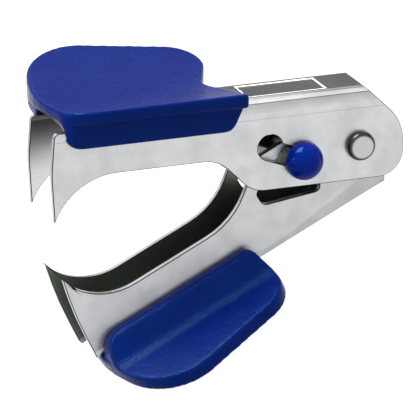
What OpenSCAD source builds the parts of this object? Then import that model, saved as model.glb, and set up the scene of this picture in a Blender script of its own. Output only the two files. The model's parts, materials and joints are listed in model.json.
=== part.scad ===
// Claw staple remover: two channel jaws on a rivet, two finger grips, a return spring and a sliding lock.
// Millimetres. +X runs from the claws to the pivot end, +Z is up, and the lower jaw lies level.
// Each jaw is drawn with the pivot axis (Y) at its origin and its outer side upward.
// The lower jaw is that drawing turned half round about X, so its claws point up.

/* [Jaws] */
// How far the jaws stand open at rest, in degrees
open_angle = 26.1; // [10:0.1:30]
// Thickness of the jaws' steel sheet
sheet = 1.0; // [0.8:0.1:1.5]
// Outside width of the upper jaw's channel; its claws fit inside a 12 mm staple crown
upper_w = 11.4; // [9:0.1:11.6]
// Height of the upper jaw's back above the pivot axis
upper_back = 8.85; // [8:0.05:11]
// Side play between the upper jaw's walls and the lower jaw's
side_play = 0.15; // [0.1:0.05:0.4]
// Depth of the lower jaw's back below the pivot axis
lower_back = 8.6; // [7:0.1:10]
// Outside radius of the upper jaw's bends
upper_bend = 2.45; // [1.6:0.05:3]
// Outside radius of the lower jaw's bends
lower_bend = 1.7; // [1.4:0.1:3]
// Radius of the upper jaw's rounded rear end about the pivot
rear_r = 7.25; // [6.5:0.05:9]
// Length of the blank name panel sunk in the upper jaw's back
panel_l = 12.8; // [8:0.2:14]
// Width of the name panel
panel_w = 5.6; // [4:0.2:6]
// Depth of the name panel
panel_depth = 0.1; // [0.05:0.05:0.2]

/* [Grips] */
// Thickness of the grip's plate over the jaw's back
plate_t = 1.7; // [1.2:0.1:2.5]
// Radius of the hollow that the fingertip lies in
finger_r = 61; // [40:1:90]
// Thickness of the grip's overhanging rim
rim_t = 2.1; // [1.2:0.1:2.5]
// Reach of the rim on the grip's straight side, from the middle plane
rim_reach = 8.2; // [7:0.1:9]
// Thickness of the skirt beside the channel on the straight side
skirt_t = 1.1; // [0.8:0.1:1.5]
// Depth of the upper grip's skirt below the jaw's back
upper_skirt = 3.95; // [3:0.05:5]
// Depth of the lower grip's skirt below the jaw's back
lower_skirt = 3.6; // [3:0.05:5]
// How much further forward the lower grip sits
lower_grip_shift = 1.3; // [0:0.1:2]

/* [Pivot] */
// Diameter of the rivet's shank
rivet_d = 3.0; // [2.5:0.1:4]
// Running clearance of the lower jaw's hole on the shank, on the radius
rivet_play = 0.05; // [0.02:0.01:0.1]
// Diameter of the rivet's heads
rivet_head_d = 4.6; // [4:0.1:6]
// Height of the rivet's heads
rivet_head_h = 1.3; // [0.8:0.1:2]
// Wire thickness of the return spring
wire_d = 0.8; // [0.6:0.1:1]
// Mean radius of the spring's coils
coil_r = 2.35; // [2.2:0.05:2.6]
// Number of coils
coils = 5; // [3:1:6]

/* [Lock] */
// Diameter of the steel cross pin
pin_d = 2.0; // [1.6:0.1:2.5]
// Diameter of the knobs
knob_d = 6.0; // [5:0.1:7]
// Height of the knobs
knob_h = 3.2; // [2:0.1:4]
// Diameter of the stems that slide in the slots
stem_d = 3.0; // [2.5:0.1:3.5]
// Clearance of a stem in its slot, on the radius
slot_play = 0.08; // [0.05:0.01:0.1]
// Distance of the pin from the pivot axis, forward
pin_x = 9.42; // [9:0.02:12]
// Distance of the pin below the pivot axis, along the upper jaw
pin_z = 1.25; // [0:0.05:2]
// Length of the slot between its end centres
slot_len = 5.9; // [4:0.1:6.2]
// Slope of the slot, down towards the pivot, in degrees
slot_slope = 21; // [0:1:30]
// Diameter of the round end of the keyhole
keyhole_d = 4.1; // [3.5:0.1:4.5]
// Gap between a knob and the jaw's wall
knob_gap = 0.25; // [0.05:0.05:0.3]

/* [Hidden] */
$fn = 64;
eps = 0.01;
far = 100;
arc_step = 7.5;

upper_hw = upper_w/2;
upper_in = upper_hw - sheet;
lower_hw = upper_in - side_play;
lower_in = lower_hw - sheet;
rivet_r = rivet_d/2;
pin_r = pin_d/2;
stem_r = stem_d/2;
wire_r = wire_d/2;

// One corner [x, z, radius] becomes the points of its fillet between the corners before and after.
function unit(v) = v/norm(v);
function fillet(a, p, b, r) =
    let(u = unit(a - p), v = unit(b - p))
    let(half = acos(u*v)/2, mid = p + unit(u + v)*r/sin(half))
    let(from = p + u*r/tan(half) - mid, to = p + v*r/tan(half) - mid)
    let(a0 = atan2(from[1], from[0]), turn = (atan2(to[1], to[0]) - a0 + 540)%360 - 180)
    let(n = max(3, ceil(abs(turn)/arc_step)))
    [for (i = [0:n]) mid + r*[cos(a0 + turn*i/n), sin(a0 + turn*i/n)]];
function xy(c) = [c[0], c[1]];
function outline(corners) =
    let(n = len(corners))
    [for (i = [0:n - 1])
        let(a = xy(corners[(i + n - 1)%n]), p = xy(corners[i]), b = xy(corners[(i + 1)%n]))
        for (q = corners[i][2] > 0 ? fillet(a, p, b, corners[i][2]) : [p]) q];

// Side view of the upper jaw: [x, z, radius], from the claw's tip round by the back and the rear end.
upper_front = -49.65;
upper_claw_top = 7.4;
upper_side = [
    [-49.7, -6.8, 0], [-50.2, 0.8, 30], [upper_front, upper_claw_top, 0.9], [-47.9, upper_claw_top, 0],
    [-47.9, upper_back, 0], [rear_r*sqrt(2) - upper_back, upper_back, 0.5],
    [rear_r, rear_r*tan(22.5), rear_r], [rear_r, -5.5, 4], [-17.6, -5.5, 4.95],
    [-23.3, 0.2, 5.6], [-46.94, 0.2, 10.8]
];

// Middle of the name panel.
panel_x = -10.9;

// Side view of the lower jaw, drawn the same way.
lower_front = -51.3;
lower_side = [
    [-50.4, -6.3, 0], [lower_front, -1.2, 59], [lower_front, lower_back, 0.9],
    [1.5, lower_back, 0.4], [2.3, 6.3, 2], [7, 3, 3.5], [7, -6.85, 6.85],
    [-14.88, -6.85, 0.5], [-22.95, 0.4, 12], [-48, 0.4, 10.35]
];

// Where the lower jaw's back starts, behind the claws' front edges.
spine_front = -49.4;

// The window in the lower jaw's walls that the lock pin moves in.
window_side = [
    [-8.3, 3.64, 0.9], [-6.85, -5.75, 0.7], [-10.87, -5.75, 0.6],
    [-12.1, -5, 2], [-17.7, -1.6, 0.8], [-17.5, 0.6, 1.2]
];

// The facet that widens the lower jaw's bends towards its tail: where it starts, and its size at the pivot.
facet_start = -30;
facet_wall = 3.35;
facet_back = 1;

// The grip's outline from above: [x, y, radius]; +Y is its wing, -Y its straight side.
grip_plan = [
    [-19, -rim_reach, 0.6], [-19.9, -4.9, 1.5], [-23.4, 0.9, 2.6], [-20.3, 8.5, 3],
    [-19.6, 13.83, 5.3], [-45.8, 19.6, 9.6], [-49.9, 4.5, 22], [-47.6, -rim_reach, 4.5]
];
plan_points = outline(grip_plan);
wing_reach = max([for (p = plan_points) p[1]]);

// Height of the finger face over the jaw's back at y.
hollow_y = -1;
function face(y) = plate_t + finger_r - sqrt(finger_r*finger_r - (y - hollow_y)*(y - hollow_y));
// The roll beside the wing, and the valley between the roll and the wing.
roll_t = 1.7;
valley = 4.6;

// Where the pivot axis is: the jaws' ends are equally far from the origin, and the lower wing stands on Z = 0.
pivot_x = (-lower_front - rear_r)/2;
pivot_z = lower_back + face(wing_reach);

steel = [0.80, 0.80, 0.81];
bright_steel = [0.72, 0.72, 0.74];
spring_steel = [0.55, 0.55, 0.57];
blue = [0.06, 0.13, 0.50];
knob_blue = [0.03, 0.12, 0.62];

// Places.
module in_upper_jaw() translate([pivot_x, 0, pivot_z]) rotate([0, open_angle, 0]) children();
module in_lower_jaw() translate([pivot_x, 0, pivot_z]) rotate([180, 0, 0]) children();
module at_pin() in_upper_jaw() translate([-pin_x, 0, -pin_z]) children();

// A drawing of the side view made solid across the width.
module across(w) translate([0, w/2, 0]) rotate([90, 0, 0]) linear_extrude(w) children();
// A drawing of the cross-section made solid along the length.
module along(x0, x1) translate([x0, 0, 0]) rotate([90, 0, 90]) linear_extrude(x1 - x0) children();
module cross_bore(r) rotate([90, 0, 0]) cylinder(r = r, h = far, center = true);

// A bar with its two upper edges rounded, seen along X.
module bar_section(hw, top, r) {
    translate([-hw, -far/2]) square([2*hw, far/2 + top - r]);
    translate([-hw + r, 0]) square([2*hw - 2*r, top]);
    for (s = [-1, 1]) translate([s*(hw - r), top - r]) circle(r = r);
}

module channel(hw, back, bend) along(-60, 20) difference() {
    bar_section(hw, back, bend);
    bar_section(hw - sheet, back - sheet, bend - sheet);
}

// The half-space outside the tail's facet on the +Y side, moved inward by depth.
module facet_cut(depth) {
    b = [-facet_start, 0, -facet_wall];
    c = [-facet_start, -facet_back, 0];
    n = unit(cross(c, b));
    translate([facet_start, lower_hw, lower_back] - n*depth)
        rotate([0, acos(n[2]), atan2(n[1], n[0])])
            translate([-far/2, -far/2, 0]) cube([far, far, 20]);
}

module facet_cuts(depth) {
    facet_cut(depth);
    mirror([0, 1, 0]) facet_cut(depth);
}

module keyhole() {
    slot_r = stem_r + slot_play;
    translate([-pin_x, 0, -pin_z]) rotate([0, slot_slope, 0]) {
        cross_bore(slot_r);
        translate([-slot_len, 0, 0]) cross_bore(slot_r);
        translate([-slot_len, -far/2, -slot_r]) cube([slot_len, far, 2*slot_r]);
        translate([-slot_len, 0, keyhole_d/2 - slot_r]) cross_bore(keyhole_d/2);
    }
}

module upper_jaw() color(steel) in_upper_jaw() difference() {
    intersection() {
        channel(upper_hw, upper_back, upper_bend);
        across(upper_w) polygon(outline(upper_side));
    }
    cross_bore(rivet_r);
    keyhole();
    translate([panel_x - panel_l/2, -panel_w/2, upper_back - panel_depth]) cube([panel_l, panel_w, far]);
}

module lower_jaw() color(steel) in_lower_jaw() difference() {
    intersection() {
        difference() {
            along(-60, 20) bar_section(lower_hw, lower_back, lower_bend);
            facet_cuts(0);
            difference() {
                along(-61, 21) bar_section(lower_in, lower_back - sheet, lower_bend - sheet);
                facet_cuts(sheet);
            }
        }
        across(upper_w) polygon(outline(lower_side));
    }
    cross_bore(rivet_r + rivet_play);
    across(far) polygon(outline(window_side));
    translate([spine_front - far, -lower_in, lower_back - sheet - 1]) cube([far, 2*lower_in, 20]);
}

// The grip's cross-section, with the jaw's back at back and the skirts reaching skirt below it.
module grip_section(hw, back, skirt) {
    near = -rim_reach;
    wing = wing_reach + 1;
    valley_y = hw + valley;
    steps = 16;
    top = [for (i = [0:steps]) near + (wing - near)*i/steps];
    under = [for (i = [0:steps]) wing - (wing - valley_y - 2)*i/steps];
    rim_z = back + face(near) - rim_t;
    polygon(outline(concat(
        [for (y = top) [y, back + face(y), 0]],
        [for (y = under) [y, back + face(y) - rim_t, 0]],
        [
            [valley_y, back + face(valley_y) - rim_t, 3.5], [hw + roll_t, back - skirt, 1.5],
            [-hw - skirt_t, back - skirt, 0.5], [-hw - skirt_t, rim_z, 0], [near, rim_z, 0.5]
        ]
    )));
}

// Side view of the grip: its plate is whole, and its skirts have rounded front ends and sloping rear ends.
module grip_side(back, skirt) {
    plate_z = back - 0.15;
    bottom = back - skirt;
    polygon(outline([
        [-60, far, 0], [-60, plate_z, 0], [-48.7, plate_z, 0], [-48.7, bottom, 3.5],
        [-21.3, bottom, 2], [-19.5, plate_z, 0], [0, plate_z, 0], [0, far, 0]
    ]));
}

module grip(hw, back, bend, skirt) difference() {
    intersection() {
        along(-60, 0) grip_section(hw, back, skirt);
        linear_extrude(far) polygon(plan_points);
        across(far) grip_side(back, skirt);
    }
    along(-61, 1) bar_section(hw, back, bend);
}

module upper_grip() color(blue) in_upper_jaw() grip(upper_hw, upper_back, upper_bend, upper_skirt);

module lower_grip() color(blue) in_lower_jaw() translate([-lower_grip_shift, 0, 0])
    grip(lower_hw, lower_back, lower_bend, lower_skirt);

// The rivet: a shank headed over at both ends against the upper jaw's walls.
module pivot_rivet() color(bright_steel) in_upper_jaw() rotate([90, 0, 0]) {
    cylinder(r = rivet_r, h = upper_w, center = true);
    for (side = [-1, 1]) scale([1, 1, side]) translate([0, 0, upper_hw]) rivet_head();
}

module rivet_head() rotate_extrude() intersection() {
    polygon(outline([
        [-rivet_head_d/2, 0, 0], [rivet_head_d/2, 0, 0], [rivet_head_d/2, rivet_head_h, 0.9],
        [0, rivet_head_h + 0.25, 6], [-rivet_head_d/2, rivet_head_h, 0.9]
    ]));
    square([rivet_head_d, 2*rivet_head_h]);
}

// The return spring's coils round the shank, with one leg under each jaw's back.
leg_reach = 16;
leg_gap = 0.05;
coil_pitch = 0.97*wire_d;
module return_spring() color(spring_steel) {
    last = (coils - 1)/2*coil_pitch;
    in_upper_jaw() {
        rotate([90, 0, 0]) rotate_extrude()
            for (i = [0:coils - 1]) translate([coil_r, last - i*coil_pitch]) circle(r = wire_r, $fn = 24);
        translate([0, last, 0]) leg(upper_back - sheet - wire_r - leg_gap);
    }
    in_lower_jaw() translate([0, last, 0]) leg(lower_back - sheet - wire_r - leg_gap);
}

// One straight leg, from the top of a coil forward and up to the height z.
module leg(z) {
    rise = z - coil_r;
    translate([0, 0, coil_r]) rotate([0, -atan2(leg_reach, rise), 0])
        cylinder(r = wire_r, h = norm([leg_reach, rise]), $fn = 24);
}

// The sliding lock: a cross pin with a knob on each end, whose stems run in the keyholes' slots.
pin_half = upper_hw + 1.7;
stem_end = upper_in + 0.05;
module lock_pin() color(bright_steel) at_pin() rotate([90, 0, 0]) cylinder(r = pin_r, h = 2*pin_half, center = true);

module knob() difference() {
    base = upper_hw + knob_gap;
    dome_r = knob_d*knob_d/8/(knob_h - 0.5) + (knob_h - 0.5)/2;
    union() {
        translate([0, 0, stem_end]) cylinder(r = stem_r, h = base - stem_end + eps);
        intersection() {
            translate([0, 0, base]) cylinder(r = knob_d/2, h = knob_h);
            translate([0, 0, base + knob_h - dome_r]) sphere(r = dome_r);
        }
    }
    translate([0, 0, -eps]) cylinder(r = pin_r, h = pin_half + eps);
}

module lock_knob_left() color(knob_blue) at_pin() rotate([90, 0, 0]) knob();
module lock_knob_right() color(knob_blue) at_pin() rotate([-90, 0, 0]) knob();

upper_jaw();
lower_jaw();
upper_grip();
lower_grip();
pivot_rivet();
return_spring();
lock_pin();
lock_knob_left();
lock_knob_right();
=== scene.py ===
"""Looks of the claw staple remover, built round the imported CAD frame. Metres, in the part's own frame."""

import json
import math

import bpy
from mathutils import Matrix, Vector


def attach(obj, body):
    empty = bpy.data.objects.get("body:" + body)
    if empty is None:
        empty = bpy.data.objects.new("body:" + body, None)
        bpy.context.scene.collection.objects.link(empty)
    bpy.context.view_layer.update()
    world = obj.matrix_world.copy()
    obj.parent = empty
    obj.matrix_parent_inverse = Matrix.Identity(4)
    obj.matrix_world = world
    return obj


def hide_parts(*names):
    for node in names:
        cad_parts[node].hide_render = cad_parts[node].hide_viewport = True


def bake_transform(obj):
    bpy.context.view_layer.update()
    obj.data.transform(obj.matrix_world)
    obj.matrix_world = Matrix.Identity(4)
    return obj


MM = 0.001

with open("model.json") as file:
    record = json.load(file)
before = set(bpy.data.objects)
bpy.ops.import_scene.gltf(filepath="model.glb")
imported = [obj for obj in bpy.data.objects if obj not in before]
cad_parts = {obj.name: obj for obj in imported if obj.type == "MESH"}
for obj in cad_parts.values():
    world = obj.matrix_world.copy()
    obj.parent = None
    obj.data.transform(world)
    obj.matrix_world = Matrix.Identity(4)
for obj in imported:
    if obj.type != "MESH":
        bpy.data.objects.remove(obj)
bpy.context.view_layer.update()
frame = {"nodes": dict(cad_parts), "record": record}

# ---- Places ----------------------------------------------------------------------------------
# The jaws' own frames have their origin on the pivot axis and +Z on each jaw's outer side.
OPEN_ANGLE = math.radians(26.1)
hinge = next(j for j in frame["record"]["behaviour"]["joints"] if j["name"] == "jaw_hinge")
PIVOT = Vector(hinge["pos_m"])
UPPER = Matrix.Translation(PIVOT) @ Matrix.Rotation(OPEN_ANGLE, 4, "Y")
LOWER = Matrix.Translation(PIVOT) @ Matrix.Rotation(math.pi, 4, "X")
ACROSS = Vector((0, 1, 0))
UPPER_UP = UPPER.to_3x3() @ Vector((0, 0, 1))
UPPER_ALONG = UPPER.to_3x3() @ Vector((1, 0, 0))
LOWER_UP = LOWER.to_3x3() @ Vector((0, 0, 1))

# Sizes that part.scad also uses, in millimetres.
SHEET = 1.0
UPPER_HALF, UPPER_BACK, UPPER_BEND = 5.7, 8.85, 2.45
LOWER_HALF, LOWER_BACK, LOWER_BEND = 4.55, 8.6, 1.7
WIRE_R, COIL_R, COILS = 0.4, 2.35, 5
LEG_REACH, LEG_GAP = 16.0, 0.05
PANEL_X, PANEL_HALF_L, PANEL_HALF_W = -10.9, 6.4, 2.8


# ---- Node materials --------------------------------------------------------------------------
# Places of the factor, the two colours and the resulting colour among the Mix node's sockets.
MIX_FACTOR, MIX_A, MIX_B, MIX_RESULT = 0, 6, 7, 2


def set_range(node, low, high, out_low, out_high):
    """A Map Range node turns low..high into out_low..out_high."""
    for key, number in (("From Min", low), ("From Max", high), ("To Min", out_low), ("To Max", out_high)):
        node.inputs[key].default_value = number


class Nodes:
    """A short way to write a node material."""

    def __init__(self, name):
        self.mat = bpy.data.materials.new(name)
        self.mat.use_nodes = True
        self.tree = self.mat.node_tree
        self.shader = self.tree.nodes["Principled BSDF"]

    def add(self, kind, **settings):
        node = self.tree.nodes.new(kind)
        for key, value in settings.items():
            setattr(node, key, value)
        return node

    def link(self, out, into):
        self.tree.links.new(out, into)

    def position(self):
        """The point in the part's own frame, in millimetres."""
        coords = self.add("ShaderNodeTexCoord")
        mapping = self.add("ShaderNodeMapping")
        mapping.inputs["Scale"].default_value = (1 / MM, 1 / MM, 1 / MM)
        self.link(coords.outputs["Object"], mapping.inputs["Vector"])
        return mapping.outputs["Vector"]

    def noise(self, vector, scale, detail=3.0):
        node = self.add("ShaderNodeTexNoise")
        node.inputs["Scale"].default_value = scale
        node.inputs["Detail"].default_value = detail
        self.link(vector, node.inputs["Vector"])
        return node.outputs["Fac"]

    def ramp(self, value, low, high, out_low=0.0, out_high=1.0, smooth=False):
        node = self.add("ShaderNodeMapRange")
        if smooth:
            node.interpolation_type = "SMOOTHSTEP"
        set_range(node, low, high, out_low, out_high)
        self.link(value, node.inputs["Value"])
        return node.outputs["Result"]

    def mix(self, factor, a, b):
        """Colour a where the factor is 0 and b where it is 1; each is a tuple or a node's output."""
        node = self.add("ShaderNodeMix", data_type="RGBA")
        self.link(factor, node.inputs[MIX_FACTOR])
        for socket, colour in ((node.inputs[MIX_A], a), (node.inputs[MIX_B], b)):
            if isinstance(colour, tuple):
                socket.default_value = (*colour, 1)
            else:
                self.link(colour, socket)
        return node.outputs[MIX_RESULT]

    def calc(self, operation, a, b=0.0):
        node = self.add("ShaderNodeMath", operation=operation)
        for socket, value in zip(node.inputs, (a, b)):
            if isinstance(value, (int, float)):
                socket.default_value = value
            else:
                self.link(value, socket)
        return node.outputs[0]

    def along(self, vector, axis, origin):
        """How far the point lies along an axis from an origin, in millimetres."""
        node = self.add("ShaderNodeVectorMath", operation="DOT_PRODUCT")
        self.link(vector, node.inputs[0])
        node.inputs[1].default_value = axis
        return self.calc("SUBTRACT", node.outputs["Value"], axis.dot(origin))

    def bump(self, height, distance, strength):
        node = self.add("ShaderNodeBump")
        node.inputs["Strength"].default_value = strength
        node.inputs["Distance"].default_value = distance
        self.link(height, node.inputs["Height"])
        self.link(node.outputs["Normal"], self.shader.inputs["Normal"])


# Half the width of the panel's border line on the sheet and on its edges, and how softly it ends, in
# millimetres. The line shows only near the height of the back.
LINE_HALF, LINE_HALF_ON_EDGES, LINE_FADE = 0.12, 0.15, 0.08
LINE_START, LINE_FULL = UPPER_BACK - 0.45, UPPER_BACK - 0.25
LINE_PALE = (0.85, 0.85, 0.85)


def panel_line(m, p, half_width):
    """1 along the blank panel's border on the upper jaw's back, 0 elsewhere."""
    height = m.along(p, UPPER_UP, PIVOT / MM)
    width = m.calc("ABSOLUTE", m.along(p, ACROSS, PIVOT / MM))
    length = m.calc("ABSOLUTE", m.along(p, UPPER_ALONG, PIVOT / MM + PANEL_X * UPPER_ALONG))
    beyond_end = m.calc("SUBTRACT", length, PANEL_HALF_L)
    beyond_side = m.calc("SUBTRACT", width, PANEL_HALF_W)
    beyond = m.calc("ABSOLUTE", m.calc("MAXIMUM", beyond_end, beyond_side))
    near_border = m.ramp(beyond, half_width - LINE_FADE, half_width, 1.0, 0.0)
    on_back = m.ramp(height, LINE_START, LINE_FULL)
    return m.calc("MULTIPLY", near_border, on_back)


def paint_line(m, p, tint, half_width):
    """The panel's border over a steel tint: pale and not metallic."""
    line = panel_line(m, p, half_width)
    m.link(m.calc("SUBTRACT", 1.0, line), m.shader.inputs["Metallic"])
    return m.mix(line, tint, LINE_PALE)


# Painted shade along the upper jaw's bend, two dark lines and a soft band below the first: heights from
# the pivot axis, in millimetres, and how strongly each darkens the sheet.
FIRST_MARK, FIRST_DARK = 8.26, 0.75
SECOND_MARK, SECOND_DARK = 6.0, 0.25
SHADE_START, SHADE_FULL, SHADE_DARK = 6.6, 8.1, 0.45


def bend_painted_shade(m, height):
    """How much painted shade darkens the upper jaw's bend at this height, from 0 to 1."""
    from_first = m.calc("ABSOLUTE", m.calc("SUBTRACT", height, FIRST_MARK))
    first = m.ramp(from_first, 0.04, 0.09, FIRST_DARK, 0.0)
    below_first = m.ramp(height, FIRST_MARK - 0.06, FIRST_MARK, 1.0, 0.0)
    shade = m.calc("MULTIPLY", m.ramp(height, SHADE_START, SHADE_FULL, 0.0, SHADE_DARK), below_first)
    from_second = m.calc("ABSOLUTE", m.calc("SUBTRACT", height, SECOND_MARK))
    second = m.ramp(from_second, 0.03, 0.10, SECOND_DARK, 0.0)
    return m.calc("MAXIMUM", m.calc("MAXIMUM", first, shade), second)


# Tints of the nickel plating between which it clouds, the fine specks in it, and the painted shade along the
# upper jaw's bend.
PLATING = ((0.40, 0.405, 0.415), (0.47, 0.475, 0.485))
SPECK = (0.30, 0.30, 0.31)
BEND_SHADE_TINT = (0.03, 0.03, 0.03)


def jaw_steel(name, half, back, bend, painted_shade_tints, outward, depth_range, panel=False, shade=1.0):
    """Satin nickel-plated sheet with a fine grain. Inside the channel and on the flat of the back the tint
    is
    painted shade: the first inner tint passes into the second over depth_range, heights from the pivot axis
    towards the back, so the sheet darkens towards the channel's closed back. The jaw's half width, back
    height and bend radius say where its inside and its flat are."""
    m = Nodes(name)
    p = m.position()
    m.shader.inputs["Metallic"].default_value = 1.0
    cloud = m.ramp(m.noise(p, scale=0.3), 0.35, 0.65)
    speck = m.ramp(m.noise(p, scale=6.0, detail=2.0), 0.3, 0.7)
    outside = m.mix(cloud, *(tuple(shade * c for c in tint) for tint in PLATING))
    outside = m.mix(m.ramp(speck, 0.0, 1.0, 0.0, 0.14), outside, SPECK)
    height = m.along(p, outward, PIVOT / MM)
    inside = m.mix(m.ramp(height, *depth_range, smooth=True), *painted_shade_tints)
    # On the upper jaw, painted shade along the bend: two dark lines and a band below the first.
    if panel:
        outside = m.mix(bend_painted_shade(m, height), outside, BEND_SHADE_TINT)
    width = m.calc("ABSOLUTE", m.along(p, ACROSS, PIVOT / MM))
    inner_half, inner_back, flat_half = half - SHEET, back - SHEET, half - bend
    between_walls = m.ramp(width, inner_half + 0.03, inner_half + 0.12, 1.0, 0.0)
    above_channel = m.ramp(height, inner_back + 0.02, inner_back + 0.06)
    past_flat = m.ramp(width, flat_half, flat_half + 0.12)
    on_bend = m.calc("MULTIPLY", above_channel, past_flat)
    within = m.calc("MULTIPLY", between_walls, m.calc("SUBTRACT", 1.0, on_bend))
    tint = m.mix(within, outside, inside)
    if panel:
        tint = paint_line(m, p, tint, LINE_HALF)
    m.link(tint, m.shader.inputs["Base Color"])
    grain = m.noise(p, scale=9.0, detail=2.0)
    m.link(m.ramp(grain, 0.3, 0.7, 0.26, 0.36), m.shader.inputs["Roughness"])
    m.bump(grain, distance=0.00003, strength=0.5)
    return m.mat


# Distances from the rivet's axis over which its heads darken into a painted dark reflection, in millimetres.
RIM_START, RIM_FULL = 1.55, 1.95
HEAD_BRIGHT, HEAD_PAINTED_DARK = (0.38, 0.38, 0.385), (0.035, 0.035, 0.037)


def rivet_steel(name):
    """Polished heads, bright on top, with a painted dark reflection round the side."""
    m = Nodes(name)
    p = m.position()
    m.shader.inputs["Metallic"].default_value = 1.0
    length = m.along(p, Vector((1, 0, 0)), PIVOT / MM)
    height = m.along(p, Vector((0, 0, 1)), PIVOT / MM)
    squares = m.calc("ADD", m.calc("MULTIPLY", length, length), m.calc("MULTIPLY", height, height))
    rim = m.ramp(m.calc("SQRT", squares), RIM_START, RIM_FULL, smooth=True)
    m.link(m.mix(rim, HEAD_BRIGHT, HEAD_PAINTED_DARK), m.shader.inputs["Base Color"])
    m.shader.inputs["Roughness"].default_value = 0.22
    return m.mat


def plain_steel(name, tint, roughness):
    """Plain drawn steel with a faint grain."""
    m = Nodes(name)
    p = m.position()
    m.shader.inputs["Metallic"].default_value = 1.0
    grain = m.noise(p, scale=5.0, detail=3.0)
    m.link(m.mix(grain, tint, tuple(0.85 * c for c in tint)), m.shader.inputs["Base Color"])
    m.link(m.ramp(grain, 0.3, 0.7, roughness, roughness + 0.08), m.shader.inputs["Roughness"])
    return m.mat


def sheet_edge(name, panel=False):
    """The sheet's cut edges, painted near black as a dark outline of painted shade. With a panel, its border
    line shows on them too.
    """
    m = Nodes(name)
    p = m.position()
    m.shader.inputs["Metallic"].default_value = 1.0
    tint = m.mix(m.noise(p, scale=5.0), (0.02, 0.02, 0.02), (0.03, 0.03, 0.03))
    if panel:
        tint = paint_line(m, p, tint, LINE_HALF_ON_EDGES)
    m.link(tint, m.shader.inputs["Base Color"])
    m.shader.inputs["Roughness"].default_value = 0.4
    return m.mat


def grip_plastic(name):
    """Blue moulding with a fine spark-eroded grain."""
    m = Nodes(name)
    p = m.position()
    cloud = m.ramp(m.noise(p, scale=0.25), 0.3, 0.7)
    m.link(m.mix(cloud, (0.0, 0.0040, 0.058), (0.0, 0.0054, 0.068)), m.shader.inputs["Base Color"])
    m.shader.inputs["Specular IOR Level"].default_value = 0.06
    m.shader.inputs["Specular Tint"].default_value = (0.42, 0.9, 1.0, 1)
    grain = m.noise(p, scale=3.5, detail=2.0)
    m.link(m.ramp(grain, 0.3, 0.7, 0.15, 0.24), m.shader.inputs["Roughness"])
    m.bump(grain, distance=0.00018, strength=0.6)
    return m.mat


# Distances from the middle plane over which a knob's stem goes from painted shade to blue, in millimetres.
STEM_END, BLUE_START = UPPER_HALF + 0.3, UPPER_HALF + 0.5
STEM_PAINTED_SHADE = (0.004, 0.004, 0.006)


def knob_plastic(name):
    """A blue close to the grips', polished; near the jaw's wall it is painted near black as shade."""
    m = Nodes(name)
    p = m.position()
    cloud = m.noise(p, scale=0.6)
    blue = m.mix(cloud, (0.0, 0.004, 0.09), (0.0, 0.006, 0.105))
    out = m.calc("ABSOLUTE", m.along(p, ACROSS, PIVOT / MM))
    stem = m.ramp(out, STEM_END, BLUE_START, 1.0, 0.0)
    m.link(m.mix(stem, blue, STEM_PAINTED_SHADE), m.shader.inputs["Base Color"])
    m.shader.inputs["Specular IOR Level"].default_value = 0.08
    m.shader.inputs["Specular Tint"].default_value = (0.35, 0.7, 1.0, 1)
    m.shader.inputs["Roughness"].default_value = 0.16
    m.bump(m.noise(p, scale=1.5), distance=0.00003, strength=0.2)
    return m.mat


# The inner tints of both jaws are painted shade, darker towards each channel's closed back.
STEEL_UPPER = jaw_steel(
    "jaw_steel_upper", UPPER_HALF, UPPER_BACK, UPPER_BEND,
    ((0.50, 0.50, 0.51), (0.10, 0.10, 0.105)), UPPER_UP, (-2.5, 7.0), panel=True,
)
STEEL_LOWER = jaw_steel(
    "jaw_steel_lower", LOWER_HALF, LOWER_BACK, LOWER_BEND,
    ((0.24, 0.26, 0.23), (0.16, 0.175, 0.155)), LOWER_UP, (-6.0, 7.0), shade=0.92,
)
RIVET = rivet_steel("rivet_polished")
# The edges' near-black tint is painted shade, a dark outline round each jaw.
EDGE = sheet_edge("sheet_edge")
EDGE_UPPER = sheet_edge("sheet_edge_upper", panel=True)
# The pin's dark tint is painted shade: it lies in the jaws' slots.
SHADED_PIN = plain_steel("pin_ground", (0.12, 0.12, 0.125), 0.3)
WIRE = plain_steel("spring_wire", (0.35, 0.35, 0.37), 0.3)
GRIP = grip_plastic("grip_blue")
KNOB = knob_plastic("knob_blue")


# ---- CAD nodes that keep their shape -----------------------------------------------------------
# How near two points of a CAD node count as one, and its edges' round, in millimetres.
WELD_DISTANCE, EDGE_ROUND = 0.01, 0.13
SHARP_ANGLE = math.radians(40)


def dress(node, material):
    """A carried-over CAD node gets its material."""
    piece = frame["nodes"][node]
    piece.data.materials.clear()
    piece.data.materials.append(material)
    return piece


def round_edges(piece, material, merge_angle):
    """The sharp edges get a small round in a material of their own, once each flat face is whole."""
    weld = piece.modifiers.new("weld", "WELD")
    weld.merge_threshold = WELD_DISTANCE * MM
    flat = piece.modifiers.new("whole_faces", "DECIMATE")
    flat.decimate_type = "DISSOLVE"
    flat.angle_limit = math.radians(merge_angle)
    bevel = piece.modifiers.new("edges", "BEVEL")
    bevel.width = EDGE_ROUND * MM
    bevel.segments = 2
    bevel.limit_method = "ANGLE"
    bevel.angle_limit = SHARP_ANGLE
    bevel.use_clamp_overlap = False
    bevel.harden_normals = True
    piece.data.materials.append(material)
    bevel.material = len(piece.data.materials) - 1


# A wider angle leaves a dark wedge on the lower jaw, so fewer of its faces are merged.
round_edges(dress("upper_jaw", STEEL_UPPER), EDGE_UPPER, merge_angle=3.0)
round_edges(dress("lower_jaw", STEEL_LOWER), EDGE, merge_angle=1.0)
dress("pivot_rivet", RIVET)
dress("lock_pin", SHADED_PIN)
dress("lock_knob_left", KNOB)
dress("lock_knob_right", KNOB)


# ---- Grips ---------------------------------------------------------------------------------------
# The remesh's cell and how far the skin is put back out after smoothing, in millimetres.
CELL, REGAIN = 0.12, 0.12
SOFTEN_STEPS, SETTLE_STEPS = 40, 10
KEPT_FACES = 0.3


def smooth_skin(piece, name, steps):
    """A smoothing modifier for the remeshed skin."""
    smooth = piece.modifiers.new(name, "SMOOTH")
    smooth.factor = 0.5
    smooth.iterations = steps


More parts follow.
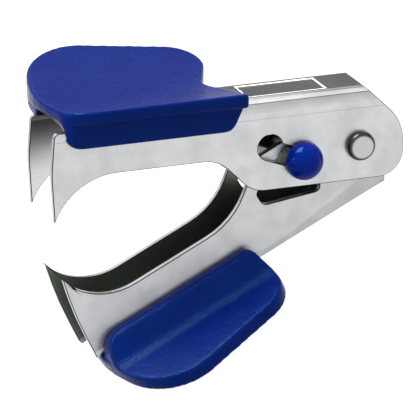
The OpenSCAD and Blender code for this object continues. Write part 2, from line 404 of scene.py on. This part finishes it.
def soft_grip(node, body, place):
    """The grip as moulded: the CAD shape with every edge softened and the ribs running into each other.
    It is remeshed in its own jaw's frame, where its flat faces lie along the cells."""
    source = frame["nodes"][node]
    mesh = source.data.copy()
    mesh.transform(place.inverted() @ source.matrix_world)
    mesh.materials.clear()
    mesh.materials.append(GRIP)
    piece = bpy.data.objects.new(node + "_moulded", mesh)
    piece.matrix_world = place
    bpy.context.scene.collection.objects.link(piece)
    remesh = piece.modifiers.new("skin", "REMESH")
    remesh.mode = "VOXEL"
    remesh.voxel_size = CELL * MM
    remesh.use_smooth_shade = True
    smooth_skin(piece, "soften", SOFTEN_STEPS)
    swell = piece.modifiers.new("regain", "DISPLACE")
    swell.strength = REGAIN * MM
    swell.mid_level = 0.0
    smooth_skin(piece, "settle", SETTLE_STEPS)
    thin = piece.modifiers.new("fewer_faces", "DECIMATE")
    thin.ratio = KEPT_FACES
    depsgraph = bpy.context.evaluated_depsgraph_get()
    moulded = bpy.data.meshes.new_from_object(piece.evaluated_get(depsgraph))
    moulded.transform(place)
    piece.modifiers.clear()
    piece.data = moulded
    piece.matrix_world = Matrix.Identity(4)
    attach(piece, body)
    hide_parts(node)


soft_grip("upper_grip", "upper", UPPER)
soft_grip("lower_grip", "lower", LOWER)


# ---- Return spring -------------------------------------------------------------------------------
def sweep(name, path, radius, sides, material):
    """A round wire along a path of points."""
    mesh = bpy.data.meshes.new(name)
    rings = []
    for i, point in enumerate(path):
        ahead = path[min(i + 1, len(path) - 1)]
        behind = path[max(i - 1, 0)]
        run = (ahead - behind).normalized()
        out = run.cross(ACROSS).normalized()
        side = out.cross(run)
        for k in range(sides):
            turn = 2 * math.pi * k / sides
            rings.append(point + radius * (math.cos(turn) * out + math.sin(turn) * side))
    faces = []
    for i in range(len(path) - 1):
        for k in range(sides):
            a, b = i * sides + k, i * sides + (k + 1) % sides
            faces.append((a, b, b + sides, a + sides))
    faces.append(tuple(range(sides)))
    faces.append(tuple(reversed(range(len(rings) - sides, len(rings)))))
    mesh.from_pydata(rings, [], faces)
    mesh.validate()
    mesh.update()
    for face in mesh.polygons:
        face.use_smooth = len(face.vertices) == 4
    mesh.materials.append(material)
    wire = bpy.data.objects.new(name, mesh)
    bpy.context.scene.collection.objects.link(wire)
    return wire


def return_spring():
    """One wire: a leg inside the upper jaw's back, coils round the rivet, a leg inside the lower's back."""
    # The CAD's coils stand 0.97 of a wire apart, and this wire's turns fill the same width.
    coil_pitch = 0.97 * 2 * WIRE_R
    side = (COILS - 1) / 2 * coil_pitch
    leg_steps, coil_steps, wire_sides = 10, 110, 10
    parallel_turns = 3.5
    turns = parallel_turns - OPEN_ANGLE / (2 * math.pi)
    upper_tip = Vector((-LEG_REACH, side, UPPER_BACK - SHEET - WIRE_R - LEG_GAP))
    upper_root = Vector((0, side, COIL_R))
    lower_root = Vector((0, side, COIL_R))
    lower_tip = Vector((-LEG_REACH, side, LOWER_BACK - SHEET - WIRE_R - LEG_GAP))
    path = [UPPER @ (upper_tip.lerp(upper_root, i / leg_steps) * MM) for i in range(leg_steps)]
    for i in range(coil_steps + 1):
        share = i / coil_steps
        turn = OPEN_ANGLE + 2 * math.pi * turns * share
        swing = Vector((COIL_R * math.sin(turn), side * (1 - 2 * share), COIL_R * math.cos(turn)))
        path.append(PIVOT + swing * MM)
    path += [LOWER @ (lower_root.lerp(lower_tip, i / leg_steps) * MM) for i in range(1, leg_steps + 1)]
    wire = sweep("return_spring_wire", path, WIRE_R * MM, wire_sides, WIRE)
    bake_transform(wire)
    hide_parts("return_spring")


return_spring()


# ---- Studio ------------------------------------------------------------------------------------
def pale_floor():
    """A plain white floor that glows a little, so that it stays even."""
    size = 3.0
    drop = 0.0002
    mesh = bpy.data.meshes.new("floor")
    corners = [(-size, -size, 0), (size, -size, 0), (size, size, 0), (-size, size, 0)]
    mesh.from_pydata(corners, [], [(0, 1, 2, 3)])
    floor = bpy.data.objects.new("floor", mesh)
    floor.location.z = -drop
    bpy.context.scene.collection.objects.link(floor)
    m = Nodes("floor_pale")
    m.shader.inputs["Base Color"].default_value = (0.12, 0.12, 0.12, 1)
    m.shader.inputs["Roughness"].default_value = 1.0
    m.shader.inputs["Specular IOR Level"].default_value = 0.0
    m.shader.inputs["Emission Color"].default_value = (1, 1, 1, 1)
    m.shader.inputs["Emission Strength"].default_value = 0.93
    mesh.materials.append(m.mat)


# Where the lamps aim, over the origin, in metres.
LAMP_AIM = Vector((0, 0, 0.01))


def area_light(name, place, size, watts):
    """A square lamp aimed at the object."""
    data = bpy.data.lights.new(name, "AREA")
    data.shape = "RECTANGLE"
    data.size, data.size_y = size, size
    data.energy = watts
    light = bpy.data.objects.new(name, data)
    light.location = place
    light.rotation_mode = "QUATERNION"
    light.rotation_quaternion = (LAMP_AIM - Vector(place)).to_track_quat("-Z", "Y")
    bpy.context.scene.collection.objects.link(light)


# The surroundings go from dark to bright over this range of height, where straight up is 1.
DARK_HEIGHT, BRIGHT_HEIGHT = 0.19, 0.33
DARK_GLOW, BRIGHT_GLOW = 0.12, 1.65
# Towards the near side (-Y) a height counts as more, by up to NEAR_LIFT where Y is NEAR_Y.
NEAR_Y, NEAR_LIFT = -0.8, 0.6


def studio_world():
    """Soft white surroundings, dark low down on the far side and bright down to the horizon on the near."""
    world = bpy.data.worlds.new("studio")
    bpy.context.scene.world = world
    world.use_nodes = True
    tree = world.node_tree
    background = tree.nodes["Background"]
    coords = tree.nodes.new("ShaderNodeTexCoord")
    split = tree.nodes.new("ShaderNodeSeparateXYZ")
    tree.links.new(coords.outputs["Generated"], split.inputs["Vector"])
    lift = tree.nodes.new("ShaderNodeMapRange")
    set_range(lift, 0.0, NEAR_Y, 0.0, NEAR_LIFT)
    tree.links.new(split.outputs["Y"], lift.inputs["Value"])
    lifted = tree.nodes.new("ShaderNodeMath")
    tree.links.new(split.outputs["Z"], lifted.inputs[0])
    tree.links.new(lift.outputs["Result"], lifted.inputs[1])
    glow = tree.nodes.new("ShaderNodeMapRange")
    set_range(glow, DARK_HEIGHT, BRIGHT_HEIGHT, DARK_GLOW, BRIGHT_GLOW)
    tree.links.new(lifted.outputs[0], glow.inputs["Value"])
    tree.links.new(glow.outputs["Result"], background.inputs["Strength"])
    background.inputs["Color"].default_value = (1, 1, 1, 1)


def camera():
    """A long lens that looks at the upper jaw's frame from its near side, a little in front and above."""
    azimuth, elevation = math.radians(-21.0), math.radians(18.7)
    aim = Vector((-21.15, 4.22, -10.76)) * MM
    distance = 0.9
    sensor_mm, lens_mm = 36.0, 504.7
    back = Vector((
        math.sin(azimuth) * math.cos(elevation),
        -math.cos(azimuth) * math.cos(elevation),
        math.sin(elevation),
    ))
    right = Vector((math.cos(azimuth), math.sin(azimuth), 0))
    up = back.cross(right)
    place = aim + back * distance
    rows = [(*(axis[i] for axis in (right, up, back)), place[i]) for i in range(3)]
    data = bpy.data.cameras.new("camera")
    data.sensor_width = sensor_mm
    data.lens = lens_mm
    data.clip_start, data.clip_end = 0.05, 20.0
    cam = bpy.data.objects.new("camera", data)
    cam.matrix_world = UPPER @ Matrix([*rows, (0, 0, 0, 1)])
    bpy.context.scene.collection.objects.link(cam)
    bpy.context.scene.camera = cam


pale_floor()
studio_world()
camera()
area_light("key", (0.1, 0.15, 1.0), size=0.6, watts=30)
area_light("glint", (-0.74, 0.03, 0.67), size=0.16, watts=5)
bpy.context.scene.view_settings.view_transform = "Standard"
